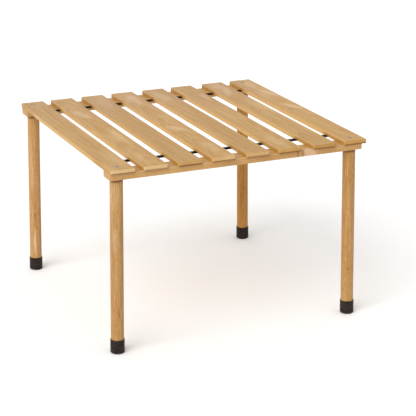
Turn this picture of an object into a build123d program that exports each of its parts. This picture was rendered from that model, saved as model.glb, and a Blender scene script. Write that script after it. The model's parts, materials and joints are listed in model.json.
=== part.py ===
from build123d import *
import math
import os

# Folding side table: a roll-up top of eight slats on two webbing straps, dropped over the studs of two
# leg frames. A frame is one rail with a leg screwed in under each end.
# Millimetres, +Z up, +X along the rails, +Y from front to rear along the slats.
# The origin is on the floor, under the middle of the top.

# Overall sizes
TOP_WIDTH = 580.0
TOP_DEPTH = 580.0
TABLE_HEIGHT = 400.0

# Slats: equal boards with hand-set, uneven gaps
SLAT_COUNT = 8
SLAT_WIDTH = 53.0
SLAT_THICKNESS = 9.0
SLAT_CORNER_RADIUS = 3.0
SLAT_EDGE_RADIUS = 1.5
GAPS = [17.5, 22.5, 21.5, 25.0, 20.5, 28.0, 21.0]

# Straps, let into a shallow groove across the underside of every slat
STRAP_WIDTH = 14.0
STRAP_THICKNESS = 2.0
STRAP_END_MARGIN = 9.0
GROOVE_CLEARANCE = 0.3
STRAP_Y = {"front": -209.0, "rear": 223.0}

# Staples: two across each strap on every slat
STAPLE_CROWN = 10.0
STAPLE_WIRE = 1.0
STAPLE_LEG = 6.0
STAPLE_SPACING = 28.0

# Rails
RAIL_LENGTH = 571.0
RAIL_DEPTH = 40.0
RAIL_HEIGHT = 14.0
RAIL_EDGE_RADIUS = 1.2
RAIL_CENTRE_X = -3.5
RAIL_Y = {"front": -264.5, "rear": 266.5}

# Legs, which spread a little towards the floor
LEG_DIAMETER = 27.4
LEG_INSET = 20.0
LEG_TOP_CHAMFER = 0.8
LEG_SPREAD_X = 5.0
LEG_SPREAD_Y = 3.5

# Rubber foot caps
CAP_DIAMETER = 30.0
CAP_HEIGHT = 30.0
CAP_FLOOR = 4.0
CAP_FOOT_RADIUS = 3.0
CAP_LIP_RADIUS = 0.5

# Steel studs, threaded inserts and eyelets
STUD_RADIUS = 4.0
STUD_IN_LEG = 36.0
STUD_CLEARANCE = 0.1
PIN_RADIUS = 3.4
PIN_PROUD = 2.5
INSERT_RADIUS = 6.5
INSERT_LENGTH = 12.0
RAIL_HOLE_RADIUS = 4.5
EYELET_HOLE_RADIUS = 4.4
EYELET_BARREL_RADIUS = 5.0
EYELET_FLANGE_RADIUS = 6.2
EYELET_FLANGE = 0.8

# Levels
SLAT_BOTTOM = TABLE_HEIGHT - SLAT_THICKNESS
RAIL_BOTTOM = SLAT_BOTTOM - RAIL_HEIGHT

SIDES = {"left": -1, "right": 1}
ENDS = {"front": -1, "rear": 1}


def slat_left(index):
    """X of the left edge of a slat, counted from 1."""
    return -TOP_WIDTH / 2 + (index - 1) * SLAT_WIDTH + sum(GAPS[:index - 1])


def slat_centre(index):
    return slat_left(index) + SLAT_WIDTH / 2


def fold_line(index):
    """X of the fold between a slat and the next one, in the middle of their gap."""
    return slat_left(index + 1) - GAPS[index - 1] / 2


def block(x_span, y_span, z_span):
    """Box between two values on each axis."""
    sizes = [high - low for low, high in (x_span, y_span, z_span)]
    middle = [(high + low) / 2 for low, high in (x_span, y_span, z_span)]
    return Pos(*middle) * Box(*sizes)


def slab(bottom, top):
    """Horizontal slab that trims leaning parts level."""
    return block((-TOP_WIDTH, TOP_WIDTH), (-TOP_DEPTH, TOP_DEPTH), (bottom, top))


def strap_span(index):
    """X limits of the stretch of strap that belongs to one slat, fold line to fold line."""
    first = slat_left(1) + STRAP_END_MARGIN if index == 1 else fold_line(index - 1)
    last = TOP_WIDTH / 2 - STRAP_END_MARGIN if index == SLAT_COUNT else fold_line(index)
    return first, last


def y_span(middle, width):
    return middle - width / 2, middle + width / 2


def staple(x, y):
    """Staple driven up through the strap, its crown across the strap."""
    half = STAPLE_CROWN / 2
    wire = STAPLE_WIRE
    x_span = (x - wire / 2, x + wire / 2)
    body = block(x_span, (y - half, y + half), (SLAT_BOTTOM - wire, SLAT_BOTTOM))
    for end in (-1, 1):
        inner = y + end * (half - wire)
        outer = y + end * half
        legs_y = (min(inner, outer), max(inner, outer))
        body += block(x_span, legs_y, (SLAT_BOTTOM - wire, SLAT_BOTTOM + STAPLE_LEG))
    return body


def staples(index):
    """The four staples of one slat."""
    found = []
    for y in STRAP_Y.values():
        for step in (-1, 1):
            found.append(staple(slat_centre(index) + step * STAPLE_SPACING / 2, y))
    return found


def strap(index, y):
    """Stretch of webbing under one slat and out to its fold lines."""
    return block(strap_span(index), y_span(y, STRAP_WIDTH), (SLAT_BOTTOM, SLAT_BOTTOM + STRAP_THICKNESS))


def leg_top(side, end):
    """Point where a leg's axis meets the underside of its rail."""
    x = RAIL_CENTRE_X + SIDES[side] * (RAIL_LENGTH / 2 - LEG_INSET)
    return x, RAIL_Y[end], RAIL_BOTTOM


def leg_foot(side, end):
    """Point where a leg's axis meets the floor."""
    x, y, _ = leg_top(side, end)
    return x + SIDES[side] * LEG_SPREAD_X, y + ENDS[end] * LEG_SPREAD_Y, 0.0


def leg_plane(side, end):
    """Plane at a leg's top whose normal runs up the leg."""
    top = Vector(*leg_top(side, end))
    along = top - Vector(*leg_foot(side, end))
    return Plane(origin=top, x_dir=(1, 0, 0), z_dir=along.normalized())


def leg_cylinder(plane, radius, low, high):
    """Cylinder on a leg's axis between two heights measured along it from the leg's top."""
    return plane * Pos(0, 0, (low + high) / 2) * Cylinder(radius, high - low)


def axis_at(side, end, height):
    """X and Y of a leg's axis at a height above the floor."""
    top = leg_top(side, end)
    foot = leg_foot(side, end)
    share = height / top[2]
    return [foot[i] + (top[i] - foot[i]) * share for i in range(2)]


def eyelet(side, end):
    """Flanged ring pressed into an end slat from above, its flange sunk flush."""
    x, y = axis_at(side, end, SLAT_BOTTOM + SLAT_THICKNESS / 2)
    barrel = Pos(x, y, SLAT_BOTTOM + SLAT_THICKNESS / 2) * Cylinder(EYELET_BARREL_RADIUS, SLAT_THICKNESS)
    flange = Pos(x, y, TABLE_HEIGHT - EYELET_FLANGE / 2) * Cylinder(EYELET_FLANGE_RADIUS, EYELET_FLANGE)
    hole = Pos(x, y, SLAT_BOTTOM) * Cylinder(EYELET_HOLE_RADIUS, 4 * SLAT_THICKNESS)
    return barrel + flange, hole


def slat(index):
    """Board with rounded corners and eased edges, grooved for the straps."""
    board = block((slat_left(index), slat_left(index) + SLAT_WIDTH), y_span(0, TOP_DEPTH),
                  (SLAT_BOTTOM, TABLE_HEIGHT))
    board = fillet(board.edges().filter_by(Axis.Z), SLAT_CORNER_RADIUS)
    board = fillet(board.faces().sort_by(Axis.Z)[-1].edges(), SLAT_EDGE_RADIUS)
    for y in STRAP_Y.values():
        first, last = strap_span(index)
        groove_start = first if index == 1 else slat_left(index)
        groove_end = last if index == SLAT_COUNT else slat_left(index) + SLAT_WIDTH
        groove_width = STRAP_WIDTH + 2 * GROOVE_CLEARANCE
        board -= block((groove_start, groove_end), y_span(y, groove_width),
                       (SLAT_BOTTOM, SLAT_BOTTOM + STRAP_THICKNESS))
    for each in staples(index):
        board -= each
    return board


def rail_insert(side, end):
    """Threaded insert let into the underside of a rail, and the hole through it."""
    plane = leg_plane(side, end)
    tube = leg_cylinder(plane, INSERT_RADIUS, -5, RAIL_HEIGHT)
    tube &= slab(RAIL_BOTTOM, RAIL_BOTTOM + INSERT_LENGTH)
    hole = leg_cylinder(plane, STUD_RADIUS + STUD_CLEARANCE, -5, 2 * RAIL_HEIGHT)
    return tube, hole


def rail(end):
    """Cross rail with a stepped hole at each leg: insert below, plain clearance above."""
    bar = block((RAIL_CENTRE_X - RAIL_LENGTH / 2, RAIL_CENTRE_X + RAIL_LENGTH / 2),
                y_span(RAIL_Y[end], RAIL_DEPTH), (RAIL_BOTTOM, SLAT_BOTTOM))
    bar = fillet(bar.edges().filter_by(Axis.X) + bar.edges().filter_by(Axis.Z), RAIL_EDGE_RADIUS)
    for side in SIDES:
        tube, _ = rail_insert(side, end)
        bar -= leg_cylinder(leg_plane(side, end), RAIL_HOLE_RADIUS, -5, 2 * RAIL_HEIGHT)
        bar -= tube
    return bar


def stud(side, end):
    """Steel stud: root in the leg, thread in the rail's insert, domed locating pin through the eyelet."""
    plane = leg_plane(side, end)
    pin_start = RAIL_HEIGHT - 0.5
    pin_end = RAIL_HEIGHT + SLAT_THICKNESS + PIN_PROUD
    body = leg_cylinder(plane, STUD_RADIUS, -STUD_IN_LEG, pin_start)
    pin = Pos(0, 0, (pin_start + pin_end) / 2) * Cylinder(PIN_RADIUS, pin_end - pin_start)
    pin = fillet(pin.edges().sort_by(Axis.Z)[-1], PIN_RADIUS * 0.7)
    return body + plane * pin


def leg_length(side, end):
    return (Vector(*leg_top(side, end)) - Vector(*leg_foot(side, end))).length


def leg(side, end):
    """Round leg, cut level under the rail and square inside its cap, drilled for the stud."""
    plane = leg_plane(side, end)
    low = CAP_FLOOR - leg_length(side, end)
    dowel = Pos(0, 0, (low + 1) / 2) * Cylinder(LEG_DIAMETER / 2, 1 - low)
    dowel = chamfer(dowel.edges().sort_by(Axis.Z)[-1], LEG_TOP_CHAMFER + 1)
    dowel = plane * dowel
    dowel &= slab(-1, RAIL_BOTTOM)
    return dowel - leg_cylinder(plane, STUD_RADIUS, -STUD_IN_LEG, 10)


def foot_cap(side, end):
    """Rubber cup over the end of a leg, rounded at the foot and cut level where it stands."""
    plane = leg_plane(side, end)
    sink = 0.4
    length = leg_length(side, end)
    cup = Cylinder(CAP_DIAMETER / 2, CAP_HEIGHT + sink)
    cup = fillet(cup.edges().sort_by(Axis.Z)[0], CAP_FOOT_RADIUS)
    cup = fillet(cup.edges().sort_by(Axis.Z)[-1], CAP_LIP_RADIUS)
    cup = plane * Pos(0, 0, (CAP_HEIGHT - sink) / 2 - length) * cup
    cup -= leg_cylinder(plane, LEG_DIAMETER / 2, CAP_FLOOR - length, CAP_HEIGHT + 5 - length)
    return cup & slab(0, TABLE_HEIGHT)


def save(name, shape):
    export_step(shape, f"parts/{name}.step")


def save_top():
    for index in range(1, SLAT_COUNT + 1):
        board = slat(index)
        side = {1: "left", SLAT_COUNT: "right"}.get(index)
        if side:
            for end in ENDS:
                ring, hole = eyelet(side, end)
                board -= ring + hole
                save(f"slat_eyelet_{end}_{side}", ring - hole)
        save(f"slat_{index}", board)
        fasteners = staples(index)
        save(f"staples_{index}", Compound(children=fasteners))
        for place, y in STRAP_Y.items():
            webbing = strap(index, y)
            for each in fasteners:
                webbing -= each
            save(f"{place}_strap_{index}", webbing)


def save_frames():
    for end in ENDS:
        save(f"{end}_rail", rail(end))
        for side in SIDES:
            tube, hole = rail_insert(side, end)
            save(f"rail_insert_{end}_{side}", tube - hole)
            save(f"leg_stud_{end}_{side}", stud(side, end))
            save(f"leg_{end}_{side}", leg(side, end))
            save(f"foot_cap_{end}_{side}", foot_cap(side, end))


def main():
    os.makedirs("parts", exist_ok=True)
    save_top()
    save_frames()
    print("fold lines", [fold_line(index) for index in range(1, SLAT_COUNT)])
    print("fold height", SLAT_BOTTOM + STRAP_THICKNESS)
    for end in ENDS:
        for side in SIDES:
            top = Vector(*leg_top(side, end))
            along = (Vector(*leg_foot(side, end)) - top).normalized()
            print(end, side, "top", leg_top(side, end), "down", [round(v, 5) for v in along])
            lean = math.degrees(math.acos(-along.Z))
            print("  lean", round(lean, 2), "degrees, foot", leg_foot(side, end))


main()
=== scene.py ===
import json
import logging
import math
from dataclasses import dataclass
from enum import Enum
from typing import Any, Iterable, Iterator, Sequence, Union

import bmesh
import bpy
from mathutils import Matrix, Vector


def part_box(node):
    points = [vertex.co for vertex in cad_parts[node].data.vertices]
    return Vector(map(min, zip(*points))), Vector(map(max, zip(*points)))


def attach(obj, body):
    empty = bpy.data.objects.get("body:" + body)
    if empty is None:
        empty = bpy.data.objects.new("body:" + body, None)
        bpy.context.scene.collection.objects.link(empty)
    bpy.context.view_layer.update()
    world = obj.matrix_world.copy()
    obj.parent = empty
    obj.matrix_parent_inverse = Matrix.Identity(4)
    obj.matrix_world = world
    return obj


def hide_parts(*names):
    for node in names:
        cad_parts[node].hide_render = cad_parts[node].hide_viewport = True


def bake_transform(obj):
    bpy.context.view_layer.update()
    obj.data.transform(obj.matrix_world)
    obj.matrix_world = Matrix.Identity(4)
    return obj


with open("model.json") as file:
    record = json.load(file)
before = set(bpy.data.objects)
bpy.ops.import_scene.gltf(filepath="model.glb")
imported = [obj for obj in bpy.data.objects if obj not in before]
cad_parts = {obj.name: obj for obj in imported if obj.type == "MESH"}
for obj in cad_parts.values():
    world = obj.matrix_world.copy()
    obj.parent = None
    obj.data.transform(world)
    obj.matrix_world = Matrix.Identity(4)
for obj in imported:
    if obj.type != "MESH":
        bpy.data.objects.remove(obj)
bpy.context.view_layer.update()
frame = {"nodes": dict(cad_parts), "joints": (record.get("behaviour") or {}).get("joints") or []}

LOG = logging.getLogger("folding_side_table")
MM = 0.001
SLAT_COUNT = 8
FULL_TURN = 2 * math.pi
Colour = tuple[float, float, float]
Pair = tuple[float, float]
Value = Union["Sock", float, int, Sequence[Any]]


# ------------------------------------------------------------------ places on the table


class End(Enum):
    """End of the slats."""

    FRONT = "front"
    REAR = "rear"


class Side(Enum):
    """End of the rails."""

    LEFT = "left"
    RIGHT = "right"


@dataclass(frozen=True)
class Corner:
    """A corner of the table, with a leg under it."""

    end: End
    side: Side

    @property
    def key(self) -> str:
        """Its part in the names of nodes, bodies and joints."""
        return f"{self.end.value}_{self.side.value}"

    @property
    def slat(self) -> str:
        """Body of the end slat that lies over it."""
        return "slat_body_1" if self.side is Side.LEFT else f"slat_body_{SLAT_COUNT}"


CORNERS = tuple(Corner(end, side) for end in End for side in Side)


# ------------------------------------------------------------------ node trees


class Sock:
    """An output socket of a node tree, with arithmetic that adds Math nodes."""

    def __init__(self, graph: "Graph", socket: bpy.types.NodeSocket) -> None:
        """Wrap an output socket of a graph's tree."""
        self.graph = graph
        self.socket = socket

    def math(self, operation: str, *values: Value) -> "Sock":
        """Output of a new Math node with these inputs, in order."""
        return self.graph.add("ShaderNodeMath", dict(enumerate(values)), operation=operation)

    def __add__(self, other: Value) -> "Sock":
        """Sum."""
        return self.math("ADD", self, other)

    def __radd__(self, other: Value) -> "Sock":
        """Sum, reflected."""
        return self.math("ADD", other, self)

    def __sub__(self, other: Value) -> "Sock":
        """Difference."""
        return self.math("SUBTRACT", self, other)

    def __rsub__(self, other: Value) -> "Sock":
        """Difference, reflected."""
        return self.math("SUBTRACT", other, self)

    def __mul__(self, other: Value) -> "Sock":
        """Product."""
        return self.math("MULTIPLY", self, other)

    def __rmul__(self, other: Value) -> "Sock":
        """Product, reflected."""
        return self.math("MULTIPLY", other, self)

    def __truediv__(self, other: Value) -> "Sock":
        """Quotient."""
        return self.math("DIVIDE", self, other)

    def __rtruediv__(self, other: Value) -> "Sock":
        """Quotient, reflected."""
        return self.math("DIVIDE", other, self)

    def __pow__(self, other: Value) -> "Sock":
        """Power."""
        return self.math("POWER", self, other)

    def frac(self) -> "Sock":
        """Fractional part."""
        return self.math("FRACT", self)

    def root(self) -> "Sock":
        """Square root."""
        return self.math("SQRT", self)

    def size(self) -> "Sock":
        """Absolute value."""
        return self.math("ABSOLUTE", self)

    def wave(self) -> "Sock":
        """Sine."""
        return self.math("SINE", self)

    def clip(self) -> "Sock":
        """Value held between 0 and 1."""
        return self.math("MINIMUM", self.math("MAXIMUM", self, 0.0), 1.0)

    def ramp(self, low: float, high: float) -> "Sock":
        """Smooth step.

        Args:
            low: Value that gives 0; it may be above high.
            high: Value that gives 1.

        Returns:
            The smooth step.
        """
        flip = low > high
        ends = {"From Min": min(low, high), "From Max": max(low, high)}
        ends.update({"To Min": float(flip), "To Max": float(not flip)})
        return self.graph.add("ShaderNodeMapRange", {"Value": self, **ends}, interpolation_type="SMOOTHSTEP")


class Graph:
    """Builder for one shader or geometry tree."""

    def __init__(self, tree: bpy.types.NodeTree) -> None:
        """Wrap the node tree that nodes are added to."""
        self.tree = tree

    def put(self, socket: bpy.types.NodeSocket, value: Any) -> None:
        """Link an input or set it.

        Args:
            socket: The input.
            value: A wrapped output, a list of them for an input that takes many, or a plain value.
        """
        if isinstance(value, (Sock, list)):
            for source in value if isinstance(value, list) else [value]:
                self.tree.links.new(source.socket, socket)
        elif socket.type == "RGBA":
            socket.default_value = (*value, 1.0)
        else:
            socket.default_value = value

    def node(self, kind: str, inputs: dict[Any, Any] | None = None, **settings: Any) -> bpy.types.Node:
        """Add any node.

        Args:
            kind: The node's type.
            inputs: Values or links, by socket name or number.
            settings: Attributes, which are set first.

        Returns:
            The new node.
        """
        made = self.tree.nodes.new(kind)
        for name, value in settings.items():
            setattr(made, name, value)
        for name, value in (inputs or {}).items():
            self.put(made.inputs[name], value)
        return made

    def add(self, kind: str, inputs: dict[Any, Any] | None = None, out: Any = 0, **settings: Any) -> Sock:
        """Add any node, and wrap its output of this name or number."""
        return Sock(self, self.node(kind, inputs, **settings).outputs[out])

    def noise(self, spot: Value, scale: float, detail: float = 2.0, rough: float = 0.5) -> Sock:
        """Noise from 0 to 1, with this many cells per unit of the spot and this many octaves."""
        values = {"Vector": spot, "Scale": scale, "Detail": detail, "Roughness": rough}
        return self.add("ShaderNodeTexNoise", values, "Fac")

    def vector(self, x: Value, y: Value, z: Value) -> Sock:
        """Vector made of three values."""
        return self.add("ShaderNodeCombineXYZ", {0: x, 1: y, 2: z})

    def split(self, vector: Sock) -> list[Sock]:
        """X, Y and Z of a vector."""
        return [Sock(self, part) for part in self.node("ShaderNodeSeparateXYZ", {0: vector}).outputs]

    def mix(self, factor: Value, first: Value, second: Value, blend: str = "MIX") -> Sock:
        """Colour mixed from two; the factor is the second one's share."""
        inputs = {0: factor, 6: first, 7: second}
        return self.add("ShaderNodeMix", inputs, 2, data_type="RGBA", blend_type=blend)


class Surface(Graph):
    """Builder for one material: a Principled shader, patterned on Object coordinates."""

    def __init__(self, name: str) -> None:
        """Start the material.

        Args:
            name: Its name.
        """
        self.material = bpy.data.materials.new(name)
        self.material.use_nodes = True
        super().__init__(self.material.node_tree)
        self.tree.nodes.clear()
        self.shader = self.node("ShaderNodeBsdfPrincipled")
        self.node("ShaderNodeOutputMaterial", {"Surface": Sock(self, self.shader.outputs[0])})
        self.spot = self.add("ShaderNodeTexCoord", out="Object")

    def feed(self, name: str, value: Value) -> None:
        """Link or set one of the shader's inputs."""
        self.put(self.shader.inputs[name], value)

    def relief(self, height: Sock, strength: float, depth: float) -> None:
        """Feed the shader's Normal with a fine relief, its depth in metres."""
        values = {"Strength": strength, "Distance": depth, "Height": height}
        self.feed("Normal", self.add("ShaderNodeBump", values))


# ------------------------------------------------------------------ wood


class Grain(Enum):
    """Axes that lie along, across and through a piece of wood."""

    ACROSS = (0, 1, 2)
    DEEP = (1, 0, 2)
    TALL = (2, 0, 1)


@dataclass(frozen=True)
class Knot:
    """A knot on a face of the wood, and how dark its heart is."""

    along: float
    across: float
    radius: float
    dark: float


@dataclass(frozen=True)
class Patch:
    """A soft bleached (or, below zero, darker) cloud in the wood."""

    along: float
    across: float
    length: float
    width: float
    strength: float
    lean: float = 0.0


@dataclass(frozen=True)
class Layer:
    """Noise stretched along the grain, in cells per metre along and across it."""

    along: float
    across: float
    detail: float
    rough: float = 0.5
    seeded: float = 1.0


LAYERS = {
    "drift": Layer(2.2, 9.0, 2.0),
    "wander": Layer(9.0, 22.0, 3.0),
    "fibre": Layer(7.0, 900.0, 3.0, 0.6, 0.0),
    "streak": Layer(2.4, 130.0, 3.0, 0.55),
    "cloud": Layer(4.0, 14.0, 2.0, 0.5, -1.0),
    "fleck": Layer(55.0, 1100.0, 1.0, 0.5, 0.0),
    "grains": Layer(105.0, 400.0, 3.0, 0.65, -1.0),
}


@dataclass(frozen=True)
class Lie:
    """Where each point of a piece of wood lies: along, across and through it, from its middle."""

    graph: Graph
    along: Sock
    across: Sock
    through: Sock
    seed: float
    seed_step: float = 3.7

    def read(self, layer: Layer) -> Sock:
        """Noise of one layer.

        Args:
            layer: How the noise is stretched.

        Returns:
            The noise, from 0 to 1.
        """
        down = (self.along + self.seed * self.seed_step) * layer.along
        deep = self.through * layer.across + self.seed * layer.seeded
        spot = self.graph.vector(down, self.across * layer.across, deep)
        return self.graph.noise(spot, 1.0, layer.detail, layer.rough)


@dataclass(frozen=True)
class WoodFinish:
    """Oiled softwood: growth rings cut through by the board, fibres, flecks and knots."""

    name: str
    grain: Grain
    centre: tuple[float, float, float]
    half_size: tuple[float, float, float]
    seed: float
    ring: float = 4.2 * MM
    pith_side: float = 0.012
    pith_depth: float = 0.075
    pith_tilt: float = 0.035
    tint: Colour = (1.0, 1.0, 1.0)
    # Tint at the far end of a painted sheen along the piece, and where the sheen starts and is full.
    far_tint: Colour = (1.0, 1.0, 1.0)
    far_from: float = -0.02
    far_full: float = 0.24
    contrast: float = 1.0
    knots: tuple[Knot, ...] = ()
    patches: tuple[Patch, ...] = ()
    lines: Layer = Layer(9.0, 260.0, 3.0, 0.6)
    dark_lines: float = 0.24
    pale_lines: float = 0.28
    mottle: float = 0.36
    # Strengths for painted light and shade on the narrow sides, the sawn ends' own tone, painted shadow in
    # the seams and its reach, a painted highlight on the top edges, and where the sides' painted shade begins
    # and is full.
    side_stain: float = 0.0
    end_tone: float = 0.0
    low_seam: float = 0.0
    end_seam: float = 0.0
    seam_reach: float = 2.6 * MM
    edge_wear: float = 0.30
    stain_from: float = 0.185
    stain_full: float = 0.215
    early: Colour = (0.490, 0.290, 0.100)
    late: Colour = (0.410, 0.218, 0.062)
    pale: Colour = (0.620, 0.430, 0.215)
    deep: Colour = (0.330, 0.165, 0.045)
    bleached: Colour = (0.690, 0.520, 0.345)
    heart: Colour = (0.230, 0.110, 0.040)
    # Colours of the painted light and shade on the narrow sides, then of the painted shadow in the seams.
    side: Colour = (0.580, 0.362, 0.148)
    side_run: Colour = (0.430, 0.218, 0.046)
    seam: Colour = (0.165, 0.064, 0.011)
    specular: float = 0.26

    def build(self) -> bpy.types.Material:
        """Make the material.

        Returns:
            The wood material.
        """
        surface = Surface(self.name)
        axes = [part - middle for part, middle in zip(surface.split(surface.spot), self.centre)]
        lie = Lie(surface, *(axes[axis] for axis in self.grain.value), self.seed)
        noise = {name: lie.read(layer) for name, layer in LAYERS.items()}
        band = self._rings(lie, noise)
        fleck = noise["fleck"].ramp(0.64, 0.74)
        figure = band * 0.26 + noise["streak"].ramp(0.32, 0.70) * 0.50 + (noise["fibre"] - 0.5) * 0.50
        colour = surface.mix((figure * self.contrast).clip(), self.early, self.late)
        coats = [*self._grain_coats(lie, noise, fleck), *self._patch_coats(lie, noise)]
        coats += self._edge_coats(lie, noise)
        for mask, tone in coats:
            colour = surface.mix(mask, colour, tone)
        # Painted sheen: along the piece the colour turns toward a second tint, which makes the slats bluer
        # and less saturated toward the rear.
        tint = surface.mix(lie.along.ramp(self.far_from, self.far_full), self.tint, self.far_tint)
        surface.feed("Base Color", surface.mix(1.0, colour, tint, "MULTIPLY"))
        surface.feed("Roughness", 0.46 + (noise["fibre"] - 0.5) * 0.16 + band * 0.05 + fleck * 0.12)
        surface.feed("Specular IOR Level", self.specular)
        relief = noise["fibre"] * 0.55 + band * 0.35 - fleck * 0.5 + noise["streak"] * 0.25
        surface.relief(relief, 0.22, 0.4 * MM)
        return surface.material

    def _knot_far(self, lie: Lie, knot: Knot) -> Sock:
        """Distance from a knot, in its radii; a knot is drawn out along the grain."""
        square = ((lie.along - knot.along) / 2.1) ** 2.0 + (lie.across - knot.across) ** 2.0
        return square.root() / knot.radius

    def _rings(self, lie: Lie, noise: dict[str, Sock]) -> Sock:
        """Growth rings round a pith line that lies under the piece and wanders.

        Args:
            lie: Where each point lies in the wood.
            noise: The noise layers.

        Returns:
            1 in the late wood of each ring.
        """
        shift = (noise["drift"] - 0.5) * 0.030 + (noise["wander"] - 0.5) * 0.0042
        side = lie.across - self.pith_side + shift
        depth = lie.through + self.pith_depth + lie.along * self.pith_tilt + shift * 0.6
        for knot in self.knots:
            depth = depth + self._knot_far(lie, knot).ramp(3.2, 0.0) * (knot.radius * 1.6)
        rings = (side * side + depth * depth).root() / self.ring
        saw = (rings + (noise["drift"] - 0.5) * 1.5).frac()
        return saw.ramp(0.12, 0.86) * saw.ramp(1.0, 0.90)

    def _grain_coats(self, lie: Lie, noise: dict[str, Sock], fleck: Sock) -> Iterator[tuple[Sock, Value]]:
        """Clouds, flecks, lines and mottling.

        Args:
            lie: Where each point lies in the wood.
            noise: The noise layers.
            fleck: 1 on the short dark flecks.

        Yields:
            Each coat's mask and its tone.
        """
        cloud, lines, grains = noise["cloud"], lie.read(self.lines), noise["grains"]
        yield cloud.ramp(0.55, 0.80) * 0.55, self.pale
        yield cloud.ramp(0.45, 0.22) * 0.30, self.late
        yield fleck * 0.30, self.deep
        yield lines.ramp(0.56, 0.72) * self.dark_lines, self.deep
        yield lines.ramp(0.46, 0.30) * self.pale_lines, self.pale
        yield grains.ramp(0.52, 0.72) * self.mottle, self.deep
        yield grains.ramp(0.48, 0.30) * self.mottle, self.pale

    def _patch_coats(self, lie: Lie, noise: dict[str, Sock]) -> Iterator[tuple[Sock, Value]]:
        """Clouds with a place of their own, with ragged outlines.

        Args:
            lie: Where each point lies in the wood.
            noise: The noise layers.

        Yields:
            Each coat's mask and its tone.
        """
        for patch in self.patches:
            down = lie.along - patch.along
            over = lie.across - patch.across + down * patch.lean
            far = ((down / patch.length) ** 2.0 + (over / patch.width) ** 2.0).root()
            ragged = far + (noise["drift"] - 0.5) * 1.2 + (noise["wander"] - 0.5) * 1.4
            tone = self.bleached if patch.strength > 0 else self.deep
            yield ragged.ramp(1.15, 0.25) * abs(patch.strength), tone

    def _edge_coats(self, lie: Lie, noise: dict[str, Sock]) -> Iterator[tuple[Sock, Value]]:
        """Painted light and shade on the narrow sides, toned sawn ends, a painted highlight along the top
        edges, knots, and painted shadow in the seams.

        Args:
            lie: Where each point lies in the wood.
            noise: The noise layers.

        Yields:
            Each coat's mask and its tone.
        """
        length, width, height = self.half_size
        far, wide = lie.along.size(), lie.across.size()
        # The narrow sides: a paler tone, painted light that lifts the shade in the gaps, turning to a darker
        # orange painted shade toward the ends, over the rails and straps.
        if self.side_stain:
            below = lie.through.ramp(height - 0.6 * MM, height - 2.2 * MM)
            flank = wide.ramp(width - 1.0 * MM, width - 0.2 * MM) * below
            runs = (far + (noise["wander"] - 0.5) * 0.05).ramp(self.stain_from, self.stain_full)
            yield flank * self.side_stain, lie.graph.mix(runs, self.side, self.side_run)
        if self.end_tone:
            ends = far.ramp(length - 1.8 * MM, length - 0.9 * MM)
            yield ends * abs(self.end_tone), self.bleached if self.end_tone > 0 else self.late
        # Painted highlight along the top long edges.
        top = lie.through.ramp(height - 2.4 * MM, height - 0.4 * MM)
        yield wide.ramp(width - 2.2 * MM, width - 0.2 * MM) * top * self.edge_wear, self.pale
        for knot in self.knots:
            yield self._knot_far(lie, knot).ramp(1.15, 0.35) * knot.dark, self.heart
        # Painted shadow along the foot of each sawn end.
        if self.low_seam:
            low = lie.through.ramp(3.1 * MM - height, 1.9 * MM - height)
            yield far.ramp(length - 1.0 * MM, length - 0.3 * MM) * low * self.low_seam, self.seam
        # Painted shadow at the upper end, where the legs meet the rail.
        if self.end_seam:
            upper = lie.along.ramp(length - self.seam_reach, length - 0.4 * self.seam_reach)
            yield upper * self.end_seam, self.seam


# ------------------------------------------------------------------ webbing, rubber and metal


@dataclass(frozen=True)
class WebbingFinish:
    """Black woven webbing: ribs along and picks across."""

    name: str = "black_webbing"
    rib: float = 1.25 * MM
    pick: float = 0.9 * MM
    # Colour in the weave's hollows, which is painted shade.
    hollow: Colour = (0.0015, 0.0013, 0.0014)
    crest: Colour = (0.0075, 0.0068, 0.0070)
    dust: Colour = (0.018, 0.016, 0.015)

    def build(self) -> bpy.types.Material:
        """Make the material.

        Returns:
            The webbing material.
        """
        surface = Surface(self.name)
        x, y, _ = surface.split(surface.spot)
        rib = (y * (FULL_TURN / self.rib)).wave() * 0.5 + 0.5
        half_step = (y * (FULL_TURN / (2 * self.rib))).wave().ramp(-0.1, 0.1) * math.pi
        pick = (x * (FULL_TURN / self.pick) + half_step).wave() * 0.5 + 0.5
        weave = rib * 0.55 + pick * 0.45
        fuzz = surface.noise(surface.spot, 2600.0, 3.0, 0.7)
        dust = surface.noise(surface.spot, 60.0, 3.0).ramp(0.55, 0.85)
        # Darker in the hollows of the weave: painted shade.
        colour = surface.mix(weave * 0.7 + fuzz * 0.3, self.hollow, self.crest)
        surface.feed("Base Color", surface.mix(dust * 0.2, colour, self.dust))
        surface.feed("Roughness", 0.82 + (fuzz - 0.5) * 0.2)
        surface.feed("Specular IOR Level", 0.10)
        surface.relief(weave + fuzz * 0.2, 0.8, 0.3 * MM)
        return surface.material


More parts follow.
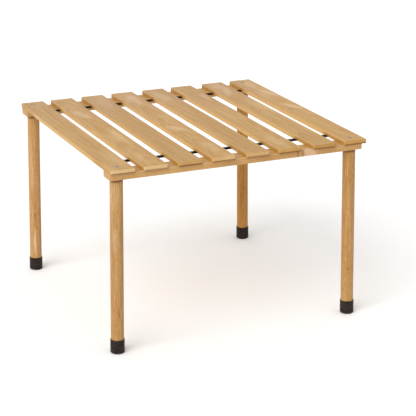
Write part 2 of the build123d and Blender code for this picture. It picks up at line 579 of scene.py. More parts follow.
@dataclass(frozen=True)
class RubberFinish:
    """Dull moulded rubber with a rippled skin, and dust low down."""

    name: str = "cap_rubber"
    low: Colour = (0.0045, 0.0027, 0.0026)
    high: Colour = (0.034, 0.023, 0.022)
    dust: Colour = (0.150, 0.130, 0.110)
    sheen: Colour = (1.0, 0.84, 0.80)
    dust_reach: float = 6.0 * MM
    ripples_around: float = 75.0
    ripples_up: float = 330.0

    def build(self) -> bpy.types.Material:
        """Make the material.

        Returns:
            The rubber material.
        """
        surface = Surface(self.name)
        x, y, height = surface.split(surface.spot)
        skin = surface.noise(surface.spot, 1500.0, 3.0, 0.6)
        smear = surface.noise(surface.spot, 95.0, 4.0, 0.6)
        waves = surface.vector(x * self.ripples_around, y * self.ripples_around, height * self.ripples_up)
        ripple = surface.noise(waves, 1.0, 3.0, 0.55)
        dust = height.ramp(self.dust_reach, 0.0) * smear.ramp(0.40, 0.75)
        # The ripples' light and dark bands in the colour are painted highlights; the smear is the rubber's
        # own mottling.
        colour = surface.mix(smear * 0.35 + ripple.ramp(0.40, 0.62) * 0.65, self.low, self.high)
        surface.feed("Base Color", surface.mix(dust * 0.35, colour, self.dust))
        surface.feed("Roughness", 0.58 + (smear - 0.5) * 0.22 + dust * 0.2)
        surface.feed("Specular IOR Level", 0.20)
        surface.feed("Specular Tint", self.sheen)
        surface.relief(skin * 0.3 + smear * 0.4 + ripple * 1.2, 0.5, 0.6 * MM)
        return surface.material


@dataclass(frozen=True)
class MetalFinish:
    """Plated or plain metal with fine scratches and dull patches."""

    name: str
    bright: Colour
    dull: Colour
    rough: float

    def build(self) -> bpy.types.Material:
        """Make the material.

        Returns:
            The metal material.
        """
        surface = Surface(self.name)
        patch = surface.noise(surface.spot, 260.0, 4.0, 0.6)
        scratch = surface.noise(surface.spot, 2400.0)
        surface.feed("Base Color", surface.mix(patch.ramp(0.35, 0.75), self.bright, self.dull))
        surface.feed("Roughness", self.rough + (patch - 0.5) * 0.25 + (scratch - 0.5) * 0.1)
        surface.feed("Metallic", 1.0)
        surface.relief(scratch + patch * 0.5, 0.2, 0.1 * MM)
        return surface.material


# ------------------------------------------------------------------ meshes


def spread(start: float, stop: float, steps: int) -> list[float]:
    """Evenly spaced values, with both ends."""
    return [start + (stop - start) * i / steps for i in range(steps + 1)]


def arc(centre: Pair, radius: float, start: float, stop: float, steps: int) -> list[Pair]:
    """Points of a circular arc in an outline's plane, from one angle in degrees to another."""
    turns = [math.radians(angle) for angle in spread(start, stop, steps)]
    return [(centre[0] + radius * math.cos(turn), centre[1] + radius * math.sin(turn)) for turn in turns]


def add_ring(work: bmesh.types.BMesh, height: float, radii: Sequence[float]) -> list[bmesh.types.BMVert]:
    """Add a ring of points round the Z axis, one per radius; a single zero gives a pole."""
    turns = spread(0.0, FULL_TURN, len(radii))
    return [work.verts.new((far * math.cos(turn), far * math.sin(turn), height))
            for far, turn in zip(radii, turns)]


def skin(work: bmesh.types.BMesh, rings: Sequence[Sequence[bmesh.types.BMVert]]) -> None:
    """Join each ring of points to the next with faces.

    Args:
        work: The mesh.
        rings: Rings of equal count, or a pole of one point.
    """
    for low, high in zip(rings, rings[1:]):
        steps = max(len(low), len(high))
        for i in range(steps):
            j = (i + 1) % steps
            corners = [low[i % len(low)], low[j % len(low)], high[j % len(high)], high[i % len(high)]]
            work.faces.new(list(dict.fromkeys(corners)))


def link_mesh(name: str, work: bmesh.types.BMesh, material: bpy.types.Material,
              smooth: bool = True) -> bpy.types.Object:
    """Turn a bmesh into an object in the scene.

    Args:
        name: The piece's name.
        work: The mesh, in metres in the row frame; it is freed.
        material: Its material.
        smooth: Whether its faces are shaded smooth.

    Returns:
        The new object.
    """
    bmesh.ops.recalc_face_normals(work, faces=work.faces)
    mesh = bpy.data.meshes.new(name)
    work.to_mesh(mesh)
    work.free()
    for polygon in mesh.polygons:
        polygon.use_smooth = smooth
    mesh.materials.append(material)
    made = bpy.data.objects.new(name, mesh)
    bpy.context.scene.collection.objects.link(made)
    return made


def lathe(name: str, outline: Sequence[Pair], place: Matrix, material: bpy.types.Material,
          steps: int = 64) -> bpy.types.Object:
    """Closed solid of revolution.

    Args:
        name: The piece's name.
        outline: (radius, height) points, in metres; a closed outline or one that starts and ends on the axis.
        place: Turns the local axis Z into the row frame.
        material: Its material.
        steps: Segments around.

    Returns:
        The new object.
    """
    work = bmesh.new()
    rings = [add_ring(work, height, [radius] * (steps if radius else 1)) for radius, height in outline]
    skin(work, rings + rings[:1] if len(rings[0]) > 1 else rings)
    bmesh.ops.transform(work, matrix=place, verts=work.verts)
    return link_mesh(name, work, material)


def soften(piece: bpy.types.Object, angle: float = 50.0) -> None:
    """Keep a smooth piece's corners crisp.

    Args:
        piece: The piece.
        angle: Edges that turn more than this, in degrees, are marked sharp.
    """
    work = bmesh.new()
    work.from_mesh(piece.data)
    for edge in work.edges:
        if len(edge.link_faces) == 2:
            edge.smooth = edge.calc_face_angle(0.0) < math.radians(angle)
    work.to_mesh(piece.data)
    work.free()


def centre_of(node: str) -> tuple[Vector, Vector]:
    """Middle and half size of a CAD node."""
    low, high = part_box(node)
    return (low + high) / 2, (high - low) / 2


def dress(node: str, material: bpy.types.Material) -> None:
    """Give a CAD node's object one material.

    Args:
        node: The node.
        material: The material.
    """
    for place in frame["nodes"][node].material_slots:
        place.material = material
    LOG.info("%s dressed", node)


def dress_wood(node: str, name: str, grain: Grain, **look: Any) -> None:
    """Give a CAD node's object its own cut of wood.

    Args:
        node: The node.
        name: The material's name.
        grain: How the grain runs in it.
        look: Other values of its wood finish.
    """
    middle, half = centre_of(node)
    size = tuple(half[axis] for axis in grain.value)
    dress(node, WoodFinish(name, grain, tuple(middle), size, **look).build())


# ------------------------------------------------------------------ the slatted top


@dataclass(frozen=True)
class Board:
    """What sets one slat's wood apart from the others'."""

    tone: float
    # Strength of the painted shadow under the slat's sawn ends.
    seam: float
    end_tone: float
    pith_side: float
    pith_tilt: float
    patches: tuple[Patch, ...]
    knots: tuple[Knot, ...] = ()

    def toned(self, wash: Colour) -> Colour:
        """One end of the painted sheen, darkened or lightened by the slat's own tone."""
        return tuple(part * (1.0 + self.tone) for part in wash)


@dataclass(frozen=True)
class SlattedTop:
    """Eight boards of the roll-up top, each with its own cut of wood."""

    # Ends of a painted sheen: the slats turn bluer and less saturated toward the rear.
    near_wash: Colour = (1.0, 0.965, 0.81)
    far_wash: Colour = (0.97, 0.96, 1.02)
    boards: tuple[Board, ...] = (
        Board(tone=0.00, seam=0.80, end_tone=0.55, pith_side=0.020, pith_tilt=0.02, patches=(
            Patch(0.02, 0.010, 0.10, 0.012, -0.10), Patch(-0.20, 0.004, 0.06, 0.015, 0.16))),
        Board(tone=0.02, seam=0.65, end_tone=0.55, pith_side=-0.006, pith_tilt=0.045, patches=(
            Patch(0.142, -0.002, 0.045, 0.015, 0.42, 0.12), Patch(-0.216, -0.009, 0.060, 0.010, 0.24),
            Patch(-0.06, 0.012, 0.09, 0.012, 0.16)), knots=(Knot(0.145, 0.002, 0.010, 0.10),)),
        Board(tone=-0.03, seam=0.95, end_tone=0.05, pith_side=0.034, pith_tilt=-0.03, patches=(
            Patch(-0.10, -0.002, 0.11, 0.018, -0.16), Patch(0.21, 0.0, 0.06, 0.018, 0.20))),
        Board(tone=0.02, seam=0.80, end_tone=0.32, pith_side=0.004, pith_tilt=0.06, patches=(
            Patch(-0.051, -0.002, 0.034, 0.020, 0.36, 0.45), Patch(0.235, 0.002, 0.07, 0.020, 0.34),
            Patch(-0.215, 0.006, 0.05, 0.015, 0.22))),
        Board(tone=-0.02, seam=0.70, end_tone=0.28, pith_side=-0.030, pith_tilt=0.015, patches=(
            Patch(-0.09, 0.004, 0.13, 0.018, -0.18), Patch(0.22, -0.004, 0.05, 0.018, 0.24))),
        Board(tone=0.01, seam=0.90, end_tone=-0.10, pith_side=0.012, pith_tilt=-0.05, patches=(
            Patch(0.17, 0.012, 0.055, 0.008, 0.44), Patch(-0.225, 0.0, 0.05, 0.016, 0.26),
            Patch(0.04, -0.008, 0.10, 0.008, 0.18))),
        Board(tone=-0.01, seam=0.75, end_tone=-0.75, pith_side=-0.010, pith_tilt=0.035, patches=(
            Patch(0.190, -0.0035, 0.050, 0.014, 0.38, -0.30), Patch(0.255, 0.0, 0.04, 0.02, 0.28),
            Patch(-0.225, 0.0, 0.07, 0.02, -0.18))),
        Board(tone=0.03, seam=0.85, end_tone=-0.50, pith_side=0.028, pith_tilt=-0.045, patches=(
            Patch(0.017, 0.0065, 0.036, 0.012, 0.50, 0.30), Patch(0.148, 0.0125, 0.045, 0.009, 0.52, 0.2),
            Patch(0.24, 0.004, 0.05, 0.018, 0.30), Patch(-0.05, 0.012, 0.05, 0.008, 0.22)),
            knots=(Knot(-0.006, -0.010, 0.0065, 0.42),)))

    def dress(self) -> None:
        """Give each slat its wood."""
        for index, board in enumerate(self.boards, 1):
            # Each slat gets painted light and shade on its narrow sides, painted shadow under its sawn ends
            # and a painted sheen toward the rear.
            dress_wood(
                f"slat_{index}", f"slat_wood_{index}", Grain.DEEP, seed=1.3 + 2.17 * index, contrast=1.25,
                pith_side=board.pith_side, pith_tilt=board.pith_tilt, tint=board.toned(self.near_wash),
                far_tint=board.toned(self.far_wash), knots=board.knots, patches=board.patches,
                side_stain=0.75, end_tone=board.end_tone, low_seam=board.seam)


# ------------------------------------------------------------------ straps and staples


@dataclass(frozen=True)
class Webbing:
    """The two straps, made as one stretch over each fold, with many cross sections over the gap."""

    material: bpy.types.Material
    edge: float = 0.8 * MM
    bow: float = 0.15 * MM
    fine_steps: int = 16
    coarse_steps: int = 4
    crown_steps: int = 8

    def _places(self, first: float, last: float, gap: Pair) -> list[float]:
        """X of the cross sections: few under the slats, many over the gap.

        Args:
            first: Start of the stretch.
            last: Its end.
            gap: X of the two slats' facing edges.

        Returns:
            The places, in order.
        """
        before = spread(first, gap[0], self.coarse_steps)[:-1]
        after = spread(gap[1], last, self.coarse_steps)[1:]
        return before + spread(*gap, self.fine_steps) + after

    def _section(self, low: Vector, high: Vector, sag: float) -> list[Pair]:
        """Cross section in Y and Z, with rolled selvedges and a thick middle.

        Args:
            low: Lowest corner of the strap's box.
            high: Its highest corner.
            sag: How far the section hangs below the box.

        Returns:
            The section's points, in order.
        """
        middle = (low.z + high.z) / 2
        crown = spread(low.y + self.edge, high.y - self.edge, self.crown_steps)
        upper = [(y, high.z - sag) for y in crown]
        lower = [(y, low.z - sag) for y in reversed(crown)]
        return upper + [(high.y, middle - sag)] + lower + [(low.y, middle - sag)]

    def build(self) -> None:
        """Make every stretch of both straps."""
        for end in End:
            for index in range(1, SLAT_COUNT):
                self._stretch(end.value, index)

    def _stretch(self, place: str, index: int) -> None:
        """Make the stretch over the fold between a slat and the next.

        Args:
            place: "front" or "rear".
            index: Number of the first slat.
        """
        node, after = f"{place}_strap_{index}", f"{place}_strap_{index + 1}"
        low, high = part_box(node)
        slat_low, slat_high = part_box(f"slat_{index}")
        next_low, next_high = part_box(f"slat_{index + 1}")
        first = low.x if index == 1 else (slat_low.x + slat_high.x) / 2
        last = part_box(after)[1].x if index == SLAT_COUNT - 1 else (next_low.x + next_high.x) / 2
        gap = (slat_high.x, next_low.x)
        work = bmesh.new()
        rings = []
        for x in self._places(first, last, gap):
            share = min(max((x - gap[0]) / (gap[1] - gap[0]), 0.0), 1.0)
            sag = self.bow * math.sin(math.pi * share)
            rings.append([work.verts.new((x, y, z)) for y, z in self._section(low, high, sag)])
        skin(work, rings)
        work.faces.new(rings[0])
        work.faces.new(rings[-1])
        piece = link_mesh(f"{place}_webbing_{index}_{index + 1}", work, self.material)
        soften(piece)
        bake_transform(piece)
        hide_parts(node, after)
        LOG.info("strap %s over fold %d", place, index)


class StapleTree:
    """Geometry tree that sets one bent wire staple on every point."""

    SIZES = ("Crown", "Wire", "Depth", "Bend")

    def __init__(self, material: bpy.types.Material) -> None:
        """Build the tree.

        Args:
            material: Material of the wire.
        """
        self.tree = bpy.data.node_groups.new("staples_on_points", "GeometryNodeTree")
        face = self.tree.interface
        face.new_socket("Geometry", in_out="INPUT", socket_type="NodeSocketGeometry")
        self.keys: dict[str, str] = {}
        for name in self.SIZES:
            made = face.new_socket(name, in_out="INPUT", socket_type="NodeSocketFloat")
            self.keys[name] = made.identifier
        face.new_socket("Geometry", in_out="OUTPUT", socket_type="NodeSocketGeometry")
        self._wire_up(material)

    def _wire_up(self, material: bpy.types.Material) -> None:
        """Add the nodes.

        Args:
            material: Material of the wire.
        """
        graph = Graph(self.tree)
        entry = graph.node("NodeGroupInput")
        inputs = [Sock(graph, entry.outputs[name]) for name in ("Geometry", *self.SIZES)]
        points, crown, wire, depth, bend = inputs
        half = crown * 0.5 - wire * 0.5
        drop = wire * -0.5
        corners = [graph.vector(0.0, half * -1.0, depth), graph.vector(0.0, half * -1.0, drop),
                   graph.vector(0.0, half, drop), graph.vector(0.0, half, depth)]
        legs = [graph.add("GeometryNodeCurvePrimitiveLine", {"Start": a, "End": b})
                for a, b in zip(corners, corners[1:])]
        joined = graph.add("GeometryNodeJoinGeometry", {0: legs[::-1]})
        mesh = graph.add("GeometryNodeCurveToMesh", {"Curve": joined})
        merged = graph.add("GeometryNodeMergeByDistance", {"Geometry": mesh, "Distance": 0.01 * MM})
        path = graph.add("GeometryNodeMeshToCurve", {"Mesh": merged})
        bends = {"Curve": path, "Count": 3, "Radius": bend}
        rounded = graph.add("GeometryNodeFilletCurve", bends, mode="POLY")
        ring = graph.add("GeometryNodeCurvePrimitiveCircle", {"Resolution": 8, "Radius": wire * 0.5})
        swept = {"Curve": rounded, "Profile Curve": ring, "Fill Caps": True}
        bent = graph.add("GeometryNodeCurveToMesh", swept)
        placed = graph.add("GeometryNodeInstanceOnPoints", {"Points": points, "Instance": bent})
        real = graph.add("GeometryNodeRealizeInstances", {"Geometry": placed})
        done = graph.add("GeometryNodeSetMaterial", {"Geometry": real, "Material": material})
        graph.node("NodeGroupOutput", {"Geometry": done})


def from_tree(name: str, points: Iterable[Sequence[float]], tree: bpy.types.NodeTree,
              values: dict[str, Any]) -> bpy.types.Object:
    """Run a geometry tree on points and keep the result as a plain mesh.

    Args:
        name: The piece's name.
        points: The points, in the row frame.
        tree: The geometry tree.
        values: Its inputs, by socket identifier.

    Returns:
        The finished object.
    """
    mesh = bpy.data.meshes.new(name + "_points")
    mesh.from_pydata([tuple(p) for p in points], [], [])
    holder = bpy.data.objects.new(name, mesh)
    bpy.context.scene.collection.objects.link(holder)
    modifier = holder.modifiers.new("tree", "NODES")
    modifier.node_group = tree
    for key, value in values.items():
        modifier[key] = value
    bpy.context.view_layer.update()
    shown = holder.evaluated_get(bpy.context.evaluated_depsgraph_get())
    result = bpy.data.meshes.new_from_object(shown)
    holder.modifiers.clear()
    holder.data = result
    for polygon in result.polygons:
        polygon.use_smooth = True
    return holder


@dataclass(frozen=True)
class Staples:
    """Wire staples that hold the straps to the slats."""

    material: bpy.types.Material
    bend: float = 0.7 * MM

    def build(self) -> None:
        """Set the four staples of every slat."""
        tree = StapleTree(self.material)
        for index in range(1, SLAT_COUNT + 1):
            self._set_on_slat(tree, index)

    def _set_on_slat(self, tree: StapleTree, index: int) -> None:
        """Set one slat's four staples.

        Args:
            tree: The tree that bends them.
            index: The slat's number.
        """
        node = f"staples_{index}"
        low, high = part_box(node)
        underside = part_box(f"slat_{index}")[0].z
        wire = underside - low.z
        step = (high.x - low.x - wire) / 2
        middle_x = (low.x + high.x) / 2
        lines = {end: centre_of(f"{end.value}_strap_{index}")[0].y for end in End}
        points = [(middle_x + side * step, lines[end], underside) for end in End for side in (-1, 1)]
        sizes = {"Crown": 2 * (lines[End.FRONT] - low.y), "Wire": wire, "Depth": high.z - underside,
                 "Bend": self.bend}
        keyed = {tree.keys[name]: value for name, value in sizes.items()}
        piece = from_tree(f"staple_set_{index}", points, tree.tree, keyed)
        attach(piece, f"slat_body_{index}")
        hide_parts(node)
        LOG.info("staples of slat %d", index)


# ------------------------------------------------------------------ leg frames


class LegLine:
    """A leg's leaning axis, taken from its joint and its dowel."""

    def __init__(self, corner: Corner) -> None:
        """Find the axis.

        Args:
            corner: The leg's corner.
        """
        joint = next(j for j in frame["joints"] if j["name"] == f"leg_{corner.key}_unscrew")
        self.down = Vector(joint["axis"]).normalized()
        self.middle = centre_of(f"leg_{corner.key}")[0]

    def at_height(self, height: float) -> Matrix:
        """Local frame on the axis.

        Args:
            height: Height where the axis passes the frame's origin.

        Returns:
            The frame, whose Z runs up the axis.
        """
        origin = self.middle + self.down * ((height - self.middle.z) / self.down.z)
        up = -self.down
        across = Vector((1.0, 0.0, 0.0))
        across = (across - up * across.dot(up)).normalized()
        turn = Matrix((across, up.cross(across), up)).transposed().to_4x4()
        return Matrix.Translation(origin) @ turn


@dataclass(frozen=True)
class FootCap:
    """Moulded rubber cup pressed on a leg's foot."""

    material: bpy.types.Material
    radius: float = 15.0 * MM
    height: float = 30.0 * MM
    wall: float = 1.28 * MM
    floor: float = 3.75 * MM
    foot_round: float = 3.0 * MM
    lip: float = 0.6 * MM
    groove_at: float = 25.4 * MM
    groove_half: float = 0.55 * MM
    groove_depth: float = 0.35 * MM
    groove_ease: float = 0.25 * MM
    groove_brow: float = 0.1 * MM
    sole_rings: Pair = (5.0 * MM, 9.0 * MM)
    side_rings: Pair = (8.0 * MM, 16.0 * MM)
    inner_ring: float = 18.0 * MM
    tread: float = 12.5 * MM
    tread_rise: float = 0.4 * MM
    crisp: float = 40.0

    def _outline(self) -> list[Pair]:
        """Outline of the cup.

        Returns:
            Points outside from the foot's middle, over the lip and down the inside.
        """
        r, top, half = self.radius, self.height, self.groove_half
        groove = [(0.0, half + self.groove_ease), (self.groove_brow, half), (self.groove_depth, half * 0.4)]
        points = [(0.0, 0.0)] + [(ring, 0.0) for ring in self.sole_rings]
        points += arc((r - self.foot_round, self.foot_round), self.foot_round, -90.0, 0.0, 8)
        points += [(r, ring) for ring in self.side_rings]
        points += [(r - deep, self.groove_at - rise) for deep, rise in groove]
        points += [(r - deep, self.groove_at + rise) for deep, rise in reversed(groove)]
        points += arc((r - self.lip, top - self.lip), self.lip, 0.0, 90.0, 5)
        inside, curl = r - self.wall, self.lip * 0.6
        points += arc((inside + curl, top - curl), curl, 90.0, 180.0, 4)
        return points + [(inside, self.inner_ring), (inside, self.floor), (0.0, self.floor)]

    def _flatten(self, cap: bpy.types.Object) -> None:
        """Lay a leaning cap's sole flat on the ground.

        Args:
            cap: The cap, whose first point is the middle of its sole.
        """
        middle = cap.data.vertices[0].co.copy()
        for vertex in cap.data.vertices:
            off = math.hypot(vertex.co.x - middle.x, vertex.co.y - middle.y)
            sole = vertex.co.z < self.tread_rise and off < self.tread
            vertex.co.z = 0.0 if sole else max(vertex.co.z, 0.0)

    def build(self, corner: Corner) -> None:
        """Make one cap and put it on its leg.

        Args:
            corner: The leg's corner.
        """
        ground = LegLine(corner).at_height(0.0)
        cap = lathe(f"rubber_cap_{corner.key}", self._outline(), ground, self.material)
        self._flatten(cap)
        soften(cap, self.crisp)
        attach(cap, f"leg_body_{corner.key}")
        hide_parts(f"foot_cap_{corner.key}")
        LOG.info("cap %s", corner.key)


@dataclass(frozen=True)
class LegStud:
    """Threaded stud in a leg's top, with a plain domed pin above the thread."""

    material: bpy.types.Material
    crest: float = 3.98 * MM
    root: float = 3.45 * MM
    pitch: float = 1.25 * MM
    pin: float = 3.4 * MM
    dome: float = 2.4 * MM
    shoulder: float = 0.6 * MM
    foot_gap: float = 0.1 * MM
    top_gap: float = 0.02 * MM
    around: int = 32
    per_turn: int = 6
    dome_steps: int = 6

    def build(self, corner: Corner) -> None:
        """Make one stud.

        Args:
            corner: The leg's corner.
        """
        leg_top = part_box(f"leg_{corner.key}")[1].z
        rail_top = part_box(f"{corner.end.value}_rail")[1].z
        low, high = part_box(f"leg_stud_{corner.key}")
        start = low.z - leg_top + self.foot_gap
        top = high.z - leg_top - self.top_gap
        work = bmesh.new()
        neck = rail_top - leg_top
        rows = [(start, [0.0])] + self._thread(start, neck) + self._pin(neck, top)
        skin(work, [add_ring(work, height, radii) for height, radii in rows])
        bmesh.ops.transform(work, matrix=LegLine(corner).at_height(leg_top), verts=work.verts)
        stud = link_mesh(f"threaded_stud_{corner.key}", work, self.material)
        soften(stud)
        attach(stud, f"leg_body_{corner.key}")
        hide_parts(f"leg_stud_{corner.key}")
        LOG.info("stud %s", corner.key)

    def _thread(self, start: float, stop: float) -> list[tuple[float, list[float]]]:
        """Rings of the thread, which runs out at both ends.

        Args:
            start: Height of its lower end.
            stop: Height of its upper end.

        Returns:
            Each ring's height and radii.
        """
        rows = []
        for height in spread(start, stop, int((stop - start) / self.pitch * self.per_turn)):
            fade = max(min((height - start) / self.pitch, (stop - height) / self.pitch, 1.0), 0.0)
            phases = [(height / self.pitch - i / self.around) % 1.0 for i in range(self.around)]
            rises = [1.0 - abs(2.0 * phase - 1.0) for phase in phases]
            rows.append((height, [self.root + (self.crest - self.root) * rise * fade for rise in rises]))
        return rows

    def _pin(self, start: float, top: float) -> list[tuple[float, list[float]]]:
        """Rings of the plain pin and its dome.

        Args:
            start: Height of the thread's upper end.
            top: Height of the dome's top.

        Returns:
            Each ring's height and radii.
        """
        spring = top - self.dome
        rows = [(start + self.shoulder, [self.pin] * self.around)]
        for turn in spread(0.0, math.pi / 2, self.dome_steps)[:-1]:
            radius = self.pin - self.dome * (1 - math.cos(turn))
            rows.append((spring + self.dome * math.sin(turn), [radius] * self.around))
        return rows + [(top, [0.0])]


@dataclass(frozen=True)
class Eyelet:
    """Pressed steel eyelet in an end slat, rolled over at the top."""

    material: bpy.types.Material
    hole: float = 4.4 * MM
    barrel: float = 4.98 * MM
    flange: float = 6.2 * MM
    sheet: float = 0.8 * MM
    proud: float = 0.35 * MM
    roll: float = 0.45 * MM
    ease: float = 0.25 * MM
    brim: float = 0.9 * MM
    brim_round: float = 0.35 * MM
    brim_ease: float = 0.12 * MM
    seat_gap: float = 0.01 * MM

    def _outline(self, top: float) -> list[Pair]:
        """Closed section of the ring.

        Args:
            top: Height of the slat's face over the barrel's foot.

        Returns:
            Points from the foot of the barrel's inside, over the flange and down the outside.
        """
        hole, barrel, flange = self.hole, self.barrel, self.flange
        centre = (hole + self.roll, top + self.proud - self.roll)
        points = [(hole, self.ease), (hole, top * 0.5), (hole, centre[1] - self.roll)]
        points += arc(centre, self.roll, 180.0, 90.0, 5)
        points += [(flange - self.brim, top + self.proud * 0.8)]
        points += [(flange - self.brim_round, top + self.proud * 0.35)]
        points += [(flange, top - self.brim_ease), (flange, top - self.sheet + self.seat_gap)]
        points += [(barrel, top - self.sheet), (barrel, top * 0.5), (barrel, self.ease)]
        return points + [(barrel - self.ease, 0.0), (hole + self.ease, 0.0)]

    def build(self, corner: Corner) -> None:
        """Make one eyelet.

        Args:
            corner: The corner that its slat lies over.
        """
        node = f"slat_eyelet_{corner.key}"
        low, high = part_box(node)
        middle = (low + high) / 2
        spot = Matrix.Translation((middle.x, middle.y, low.z))
        ring = lathe(f"eyelet_{corner.key}", self._outline(high.z - low.z), spot, self.material)
        soften(ring)
        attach(ring, corner.slat)
        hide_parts(node)
        LOG.info("eyelet %s", corner.key)


@dataclass(frozen=True)
class Rail:
    """Wood of one cross rail."""

    end: End
    tint: Colour
    seed: float
    knots: tuple[Knot, ...] = ()
    patches: tuple[Patch, ...] = ()

    def dress(self) -> None:
        """Give the rail its wood."""
        place = self.end.value
        dress_wood(
            f"{place}_rail", f"rail_wood_{place}", Grain.ACROSS, seed=self.seed, ring=3.4 * MM, contrast=1.3,
            pith_side=-0.030, pith_depth=0.045, pith_tilt=0.03, tint=self.tint, far_tint=self.tint,
            knots=self.knots, patches=self.patches)


@dataclass(frozen=True)
class Leg:
    """Wood of one leg."""

    corner: Corner
    tint: Colour
    seed: float
    patches: tuple[Patch, ...]
    knots: tuple[Knot, ...] = ()
    dark_lines: float = 0.62
    pale_lines: float = 0.55
    lines: Layer = Layer(24.0, 430.0, 3.0, 0.6)
    deep: Colour = (0.24, 0.115, 0.034)

    def dress(self) -> None:
        """Give the leg its wood."""
        key = self.corner.key
        # Painted shadow darkens the top of the leg, under the rail.
        dress_wood(
            f"leg_{key}", f"leg_wood_{key}", Grain.TALL, seed=self.seed, ring=2.9 * MM, contrast=1.5,
            pith_side=0.016 if self.corner.side is Side.LEFT else -0.012, pith_depth=0.026, pith_tilt=0.03,
            tint=self.tint, far_tint=self.tint, deep=self.deep, mottle=0.38, knots=self.knots,
            patches=self.patches, lines=self.lines, dark_lines=self.dark_lines, pale_lines=self.pale_lines,
            end_seam=0.85, seam_reach=9.0 * MM)


@dataclass(frozen=True)
class LegFrames:
    """Two cross rails with four screwed-in legs."""

    rubber: bpy.types.Material
    steel: bpy.types.Material
    brass: bpy.types.Material
    rails: tuple[Rail, ...] = (
        Rail(End.FRONT, tint=(1.08, 1.07, 1.16), seed=31.0, knots=(
            Knot(0.1330, -0.020, 0.0014, 0.60), Knot(0.1445, -0.020, 0.0014, 0.60),
            Knot(-0.205, -0.018, 0.0022, 0.25)), patches=(
            Patch(0.162, -0.020, 0.016, 0.020, 0.40), Patch(-0.020, -0.020, 0.020, 0.018, -0.30),
            Patch(0.060, -0.020, 0.022, 0.018, -0.30), Patch(0.205, -0.020, 0.018, 0.018, -0.25))),
        Rail(End.REAR, tint=(1.02, 1.00, 1.00), seed=37.5))
    legs: tuple[Leg, ...] = (
        Leg(Corner(End.FRONT, Side.LEFT), tint=(0.90, 0.84, 0.82), seed=51.0, patches=(
            Patch(0.053, -0.006, 0.035, 0.0060, 0.26), Patch(-0.020, -0.007, 0.040, 0.0050, 0.14),
            Patch(-0.103, -0.002, 0.012, 0.0009, -0.80), Patch(-0.060, 0.001, 0.050, 0.0020, -0.30))),
        Leg(Corner(End.FRONT, Side.RIGHT), tint=(0.91, 0.85, 0.79), seed=55.3, patches=(
            Patch(0.080, -0.006, 0.050, 0.0040, 0.16), Patch(-0.020, -0.002, 0.060, 0.0030, 0.14),
            Patch(-0.085, -0.0035, 0.014, 0.0010, -0.60)), knots=(
            Knot(-0.085, -0.0045, 0.0022, 0.5), Knot(0.115, -0.005, 0.0014, 0.5))),
        Leg(Corner(End.REAR, Side.LEFT), tint=(0.99, 0.93, 0.95), seed=59.6, patches=(
            Patch(-0.070, -0.004, 0.020, 0.0010, -0.70), Patch(-0.120, -0.0068, 0.034, 0.0028, 0.62),
            Patch(0.060, -0.009, 0.080, 0.0030, 0.22)), knots=(Knot(-0.051, -0.006, 0.0026, 0.6),)),
        # This leg's darker, more orange tint is painted shade: it stands in the shade of the top.
        Leg(Corner(End.REAR, Side.RIGHT), tint=(0.98, 0.81, 0.51), seed=63.9, patches=(
            Patch(-0.020, -0.004, 0.100, 0.0016, -0.75), Patch(-0.080, -0.0075, 0.060, 0.0012, -0.65),
            Patch(-0.060, -0.001, 0.070, 0.0013, -0.55)), dark_lines=0.85, pale_lines=0.30))

    def build(self) -> None:
        """Dress the wood and make the caps and studs."""
        for rail in self.rails:
            rail.dress()
            for leg in self.legs:
                if leg.corner.end is rail.end:
                    leg.dress()
                    dress(f"rail_insert_{leg.corner.key}", self.brass)
                    FootCap(self.rubber).build(leg.corner)
                    LegStud(self.steel).build(leg.corner)


# ------------------------------------------------------------------ studio


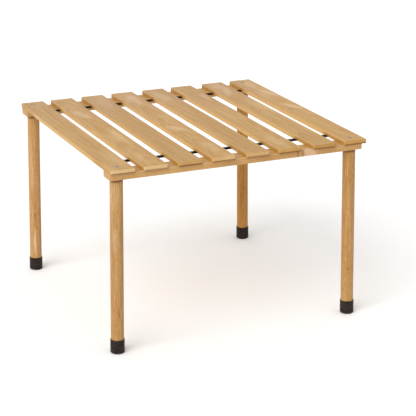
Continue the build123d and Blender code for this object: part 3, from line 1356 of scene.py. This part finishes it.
@dataclass(frozen=True)
class Studio:
    """Pale floor, soft lights and the camera."""

    floor_half: float = 12.0
    floor_drop: float = 0.2 * MM
    paper_dim: Colour = (0.955, 0.955, 0.955)
    paper_bright: Colour = (0.975, 0.975, 0.975)
    camera_at: tuple[float, float, float] = (-1.326061, -3.068587, 1.314292)
    heading: float = 0.4219
    downward: float = 0.3229
    roll: float = 0.002
    lens: float = 135.46
    sight: float = 60.0
    sky: Colour = (1.0, 0.995, 0.985)
    sky_power: float = 0.79
    sun_power: float = 1.95
    sun_from: tuple[float, float, float] = (-0.677, -0.403, 0.616)
    sun_spread: float = 50.0
    box_at: tuple[float, float, float] = (0.9, 2.3, 1.5)
    box_aim: tuple[float, float, float] = (0.0, 0.1, 0.35)
    box_size: Pair = (2.0, 1.0)
    box_power: float = 2.5

    def build(self) -> None:
        """Make the floor, lights and camera."""
        self._floor()
        self._sky()
        sun = self._light("key_light", "SUN", self.sun_power, -Vector(self.sun_from))
        sun.data.angle = math.radians(self.sun_spread)
        box = self._light("rear_light", "AREA", self.box_power, Vector(self.box_aim) - Vector(self.box_at))
        box.data.shape = "RECTANGLE"
        box.data.size, box.data.size_y = self.box_size
        box.location = self.box_at
        box.visible_camera = False
        self._camera()
        bpy.context.scene.view_settings.view_transform = "Standard"
        LOG.info("studio ready")

    def _floor(self) -> None:
        """Plain pale floor, a hair below the feet."""
        surface = Surface("floor_paper")
        cloud = surface.noise(surface.spot, 1.5)
        surface.feed("Base Color", surface.mix(cloud, self.paper_dim, self.paper_bright))
        surface.feed("Roughness", 0.9)
        surface.feed("Specular IOR Level", 0.1)
        work = bmesh.new()
        half, z = self.floor_half, -self.floor_drop
        corners = [work.verts.new((x * half, y * half, z)) for x, y in ((-1, -1), (1, -1), (1, 1), (-1, 1))]
        work.faces.new(corners)
        floor = link_mesh("studio_floor", work, surface.material, smooth=False)

    def _sky(self) -> None:
        """Even white surroundings."""
        world = bpy.data.worlds.new("studio_sky")
        bpy.context.scene.world = world
        world.use_nodes = True
        graph = Graph(world.node_tree)
        back = world.node_tree.nodes["Background"]
        graph.put(back.inputs["Color"], self.sky)
        graph.put(back.inputs["Strength"], self.sky_power)

    @staticmethod
    def _light(name: str, kind: str, power: float, ahead: Vector) -> bpy.types.Object:
        """Add one light.

        Args:
            name: Its name.
            kind: Its type.
            power: Its strength, in Blender's units for that type.
            ahead: Direction that it shines in.

        Returns:
            The light's object.
        """
        light = bpy.data.lights.new(name, kind)
        light.energy = power
        holder = bpy.data.objects.new(name, light)
        bpy.context.scene.collection.objects.link(holder)
        holder.rotation_euler = ahead.to_track_quat("-Z", "Y").to_euler()
        return holder

    def _camera(self) -> None:
        """Stand the camera."""
        across = Vector((math.cos(self.heading), -math.sin(self.heading), 0.0))
        flat = Vector((math.sin(self.heading), math.cos(self.heading), 0.0))
        ahead = flat * math.cos(self.downward) - Vector((0.0, 0.0, math.sin(self.downward)))
        up = across.cross(ahead)
        right = across * math.cos(self.roll) + up * math.sin(self.roll)
        top = up * math.cos(self.roll) - across * math.sin(self.roll)
        data = bpy.data.cameras.new("camera")
        data.lens = self.lens
        data.clip_end = self.sight
        camera = bpy.data.objects.new("camera", data)
        bpy.context.scene.collection.objects.link(camera)
        turn = Matrix((right, top, -ahead)).transposed().to_4x4()
        camera.matrix_world = Matrix.Translation(self.camera_at) @ turn
        bpy.context.scene.camera = camera


def main() -> None:
    """Build the table's looks around the frame."""
    logging.basicConfig(level=logging.INFO, format="%(name)s: %(message)s")
    Studio().build()
    webbing = WebbingFinish().build()
    staple = MetalFinish("staple_steel_looks", (0.62, 0.62, 0.60), (0.42, 0.41, 0.39), 0.38).build()
    eyelet = MetalFinish("eyelet_steel_looks", (0.61, 0.48, 0.33), (0.51, 0.40, 0.27), 0.62).build()
    stud = MetalFinish("stud_steel_looks", (0.50, 0.41, 0.32), (0.40, 0.33, 0.26), 0.68).build()
    brass = MetalFinish("insert_brass_looks", (0.78, 0.56, 0.25), (0.50, 0.33, 0.13), 0.34).build()
    SlattedTop().dress()
    Webbing(webbing).build()
    Staples(staple).build()
    for corner in CORNERS:
        Eyelet(eyelet).build(corner)
    LegFrames(RubberFinish().build(), stud, brass).build()


if __name__ == "__main__":
    main()
